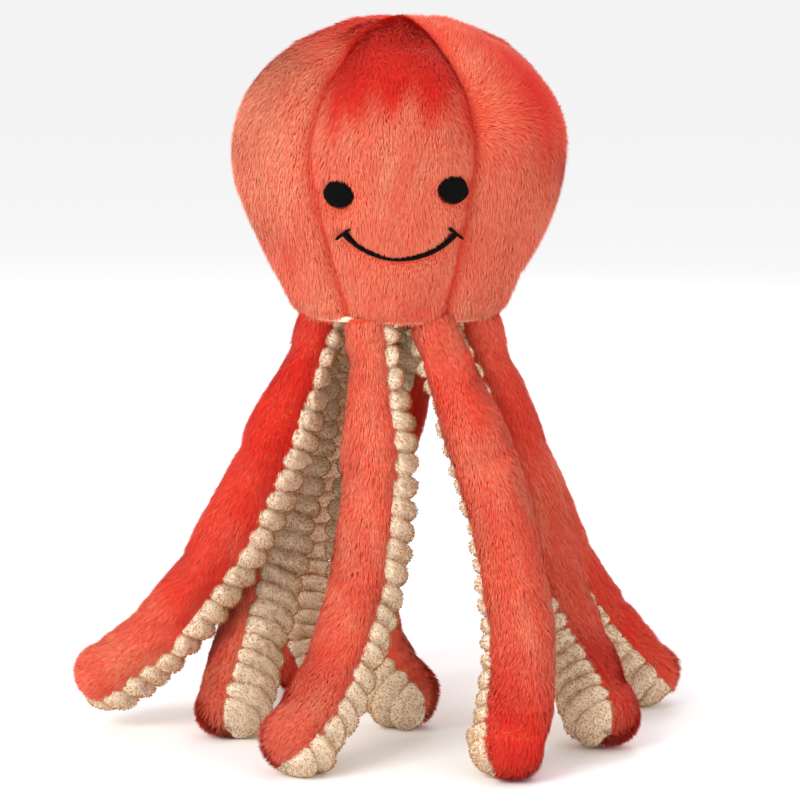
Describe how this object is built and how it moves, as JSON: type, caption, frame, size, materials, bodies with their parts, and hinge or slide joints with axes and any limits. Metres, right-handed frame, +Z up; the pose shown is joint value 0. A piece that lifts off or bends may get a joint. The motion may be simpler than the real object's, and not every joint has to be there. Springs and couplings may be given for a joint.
{
  "type": "plush octopus",
  "caption": "Stuffed octopus soft toy: a round gored plush head with an embroidered smile, standing on curved tentacles that are plush outside and ribbed corduroy inside.",
  "frame": {"origin": "on the ground, under the middle of the head", "axes": "+Z up through the crown; the face looks along -Y; +X is to the right of the face as a viewer sees it"},
  "size_m": [0.1921, 0.1508, 0.224],
  "materials": {
    "plush": "short coral pile",
    "corduroy": "wide-rib sand corduroy",
    "stuffing": "polyester fibre",
    "seam_thread": "sewing thread",
    "black_thread": "satin stitch"
  },
  "bodies": {
    "head": {"gore_front": "plush", "gore_front_right": "plush", "gore_back_right": "plush", "gore_back": "plush", "gore_back_left": "plush", "gore_front_left": "plush", "neck_base": "corduroy", "head_stuffing": "stuffing", "gore_seams": "seam_thread", "eye_left": "black_thread", "eye_right": "black_thread", "smile": "black_thread"},
    "tentacle_1_upper": {"tentacle_1_upper_back": "plush", "tentacle_1_upper_suckers": "corduroy", "tentacle_1_upper_filling": "stuffing"},
    "tentacle_1_lower": {"tentacle_1_lower_back": "plush", "tentacle_1_lower_suckers": "corduroy", "tentacle_1_lower_filling": "stuffing"},
    "tentacle_2_upper": {"tentacle_2_upper_back": "plush", "tentacle_2_upper_suckers": "corduroy", "tentacle_2_upper_filling": "stuffing"},
    "tentacle_2_lower": {"tentacle_2_lower_back": "plush", "tentacle_2_lower_suckers": "corduroy", "tentacle_2_lower_filling": "stuffing"},
    "tentacle_3_upper": {"tentacle_3_upper_back": "plush", "tentacle_3_upper_suckers": "corduroy", "tentacle_3_upper_filling": "stuffing"},
    "tentacle_3_lower": {"tentacle_3_lower_back": "plush", "tentacle_3_lower_suckers": "corduroy", "tentacle_3_lower_filling": "stuffing"},
    "tentacle_4_upper": {"tentacle_4_upper_back": "plush", "tentacle_4_upper_suckers": "corduroy", "tentacle_4_upper_filling": "stuffing"},
    "tentacle_4_lower": {"tentacle_4_lower_back": "plush", "tentacle_4_lower_suckers": "corduroy", "tentacle_4_lower_filling": "stuffing"},
    "tentacle_5_upper": {"tentacle_5_upper_back": "plush", "tentacle_5_upper_suckers": "corduroy", "tentacle_5_upper_filling": "stuffing"},
    "tentacle_5_lower": {"tentacle_5_lower_back": "plush", "tentacle_5_lower_suckers": "corduroy", "tentacle_5_lower_filling": "stuffing"},
    "tentacle_6_upper": {"tentacle_6_upper_back": "plush", "tentacle_6_upper_suckers": "corduroy", "tentacle_6_upper_filling": "stuffing"},
    "tentacle_6_lower": {"tentacle_6_lower_back": "plush", "tentacle_6_lower_suckers": "corduroy", "tentacle_6_lower_filling": "stuffing"},
    "tentacle_7_upper": {"tentacle_7_upper_back": "plush", "tentacle_7_upper_suckers": "corduroy", "tentacle_7_upper_filling": "stuffing"},
    "tentacle_7_lower": {"tentacle_7_lower_back": "plush", "tentacle_7_lower_suckers": "corduroy", "tentacle_7_lower_filling": "stuffing"},
    "tentacle_8_upper": {"tentacle_8_upper_back": "plush", "tentacle_8_upper_suckers": "corduroy", "tentacle_8_upper_filling": "stuffing"},
    "tentacle_8_lower": {"tentacle_8_lower_back": "plush", "tentacle_8_lower_suckers": "corduroy", "tentacle_8_lower_filling": "stuffing"}
  },
  "joints": [
    {"name": "tentacle_1_root", "type": "hinge", "parent": "head", "child": "tentacle_1_upper", "pos_m": [-0.02734, -0.00927, 0.121], "axis": [-0.3194, 0.9475, 0.0171], "range_deg": [0, 50]},
    {"name": "tentacle_1_bend", "type": "hinge", "parent": "tentacle_1_upper", "child": "tentacle_1_lower", "pos_m": [-0.05236, -0.01387, 0.06291], "axis": [-0.2742, 0.9525, 0.1327], "range_deg": [0, 45]},
    {"name": "tentacle_2_root", "type": "hinge", "parent": "head", "child": "tentacle_2_upper", "pos_m": [-0.00859, -0.02504, 0.121], "axis": [-0.4214, 0.8977, -0.1287], "range_deg": [-5, 50]},
    {"name": "tentacle_2_bend", "type": "hinge", "parent": "tentacle_2_upper", "child": "tentacle_2_lower", "pos_m": [-0.00988, -0.03828, 0.05926], "axis": [-0.4604, 0.8545, -0.2407], "range_deg": [-15, 45]},
    {"name": "tentacle_3_root", "type": "hinge", "parent": "head", "child": "tentacle_3_upper", "pos_m": [0.01312, -0.02597, 0.121], "axis": [-0.928, -0.1499, -0.341], "range_deg": [-5, 50]},
    {"name": "tentacle_3_bend", "type": "hinge", "parent": "tentacle_3_upper", "child": "tentacle_3_lower", "pos_m": [0.03304, -0.04443, 0.06371], "axis": [-0.9377, -0.338, -0.0799], "range_deg": [-15, 45]},
    {"name": "tentacle_4_root", "type": "hinge", "parent": "head", "child": "tentacle_4_upper", "pos_m": [0.02573, -0.00987, 0.121], "axis": [-0.3664, -0.9002, -0.2352], "range_deg": [-5, 50]},
    {"name": "tentacle_4_bend", "type": "hinge", "parent": "tentacle_4_upper", "child": "tentacle_4_lower", "pos_m": [0.04377, -0.00694, 0.0604], "axis": [-0.1618, -0.9834, 0.0823], "range_deg": [-15, 45]},
    {"name": "tentacle_5_root", "type": "hinge", "parent": "head", "child": "tentacle_5_upper", "pos_m": [0.0248, 0.01425, 0.121], "axis": [0.4943, -0.8668, 0.066], "range_deg": [-5, 50]},
    {"name": "tentacle_5_bend", "type": "hinge", "parent": "tentacle_5_upper", "child": "tentacle_5_lower", "pos_m": [0.04625, 0.02066, 0.0616], "axis": [0.4836, -0.8654, 0.1308], "range_deg": [-15, 45]},
    {"name": "tentacle_6_root", "type": "hinge", "parent": "head", "child": "tentacle_6_upper", "pos_m": [0.00705, 0.02405, 0.121], "axis": [0.4248, -0.8938, -0.144], "range_deg": [-3, 25]},
    {"name": "tentacle_6_bend", "type": "hinge", "parent": "tentacle_6_upper", "child": "tentacle_6_lower", "pos_m": [-0.0105, 0.01968, 0.06035], "axis": [0.4209, -0.898, 0.1282], "range_deg": [-10, 45]},
    {"name": "tentacle_7_root", "type": "hinge", "parent": "head", "child": "tentacle_7_upper", "pos_m": [-0.01356, 0.02875, 0.12095], "axis": [0.8819, 0.4682, -0.0544], "range_deg": [-5, 50]},
    {"name": "tentacle_7_bend", "type": "hinge", "parent": "tentacle_7_upper", "child": "tentacle_7_lower", "pos_m": [-0.03214, 0.05644, 0.06795], "axis": [0.7769, 0.6288, -0.0329], "range_deg": [-15, 45]},
    {"name": "tentacle_8_root", "type": "hinge", "parent": "head", "child": "tentacle_8_upper", "pos_m": [-0.02629, 0.01076, 0.12094], "axis": [0.9042, -0.3114, -0.2923], "range_deg": [0, 12]},
    {"name": "tentacle_8_bend", "type": "hinge", "parent": "tentacle_8_upper", "child": "tentacle_8_lower", "pos_m": [-0.04013, 0.01079, 0.05977], "axis": [0.2707, 0.9057, -0.3264], "range_deg": [-5, 2]}
  ]
}
